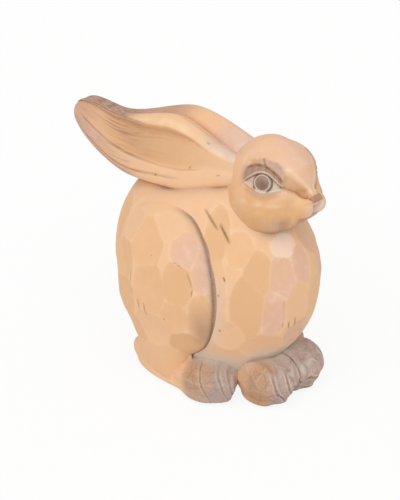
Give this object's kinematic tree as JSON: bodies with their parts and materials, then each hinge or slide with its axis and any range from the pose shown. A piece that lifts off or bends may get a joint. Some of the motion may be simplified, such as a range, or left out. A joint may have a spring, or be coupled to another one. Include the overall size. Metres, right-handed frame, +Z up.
{
  "type": "hare figurine",
  "caption": "Crouching hare ornament in hollow cast resin with a carved-wood finish, long ears laid back, and felt pads to stand on a shelf or table.",
  "frame": {"origin": "on the ground, under the middle of the whole figure", "axes": "+Z up, the hare faces -Y, its left side is +X"},
  "size_m": [0.1576, 0.245, 0.2182],
  "materials": {
    "carved_resin": "cast resin with carved facets, honey-tan stain, pale wash in the creases, soft satin",
    "ear_resin": "cast resin with lengthwise gouge strokes, honey-tan stain, browner in the hollow and at the tip",
    "foot_resin": "cast resin, grey-brown wash over tan on the toes, pale wash between them",
    "eye_resin": "cast resin disc, grey-brown stain, satin",
    "plate_resin": "cast resin plate, unstained, matt",
    "pin_steel": "bright drawn steel wire",
    "pad_felt": "pressed dark wool felt"
  },
  "bodies": {
    "root": {"body_shell": "carved_resin", "base_plug": "plate_resin", "tail": "carved_resin", "head": "carved_resin", "right_ear": "ear_resin", "right_eye": "eye_resin", "right_ear_pin": "pin_steel", "right_haunch": "carved_resin", "right_hind_foot": "foot_resin", "right_forepaw": "foot_resin", "right_hind_pad": "pad_felt", "right_fore_pad": "pad_felt", "left_ear": "ear_resin", "left_eye": "eye_resin", "left_ear_pin": "pin_steel", "left_haunch": "carved_resin", "left_hind_foot": "foot_resin", "left_forepaw": "foot_resin", "left_hind_pad": "pad_felt", "left_fore_pad": "pad_felt"}
  },
  "joints": []
}
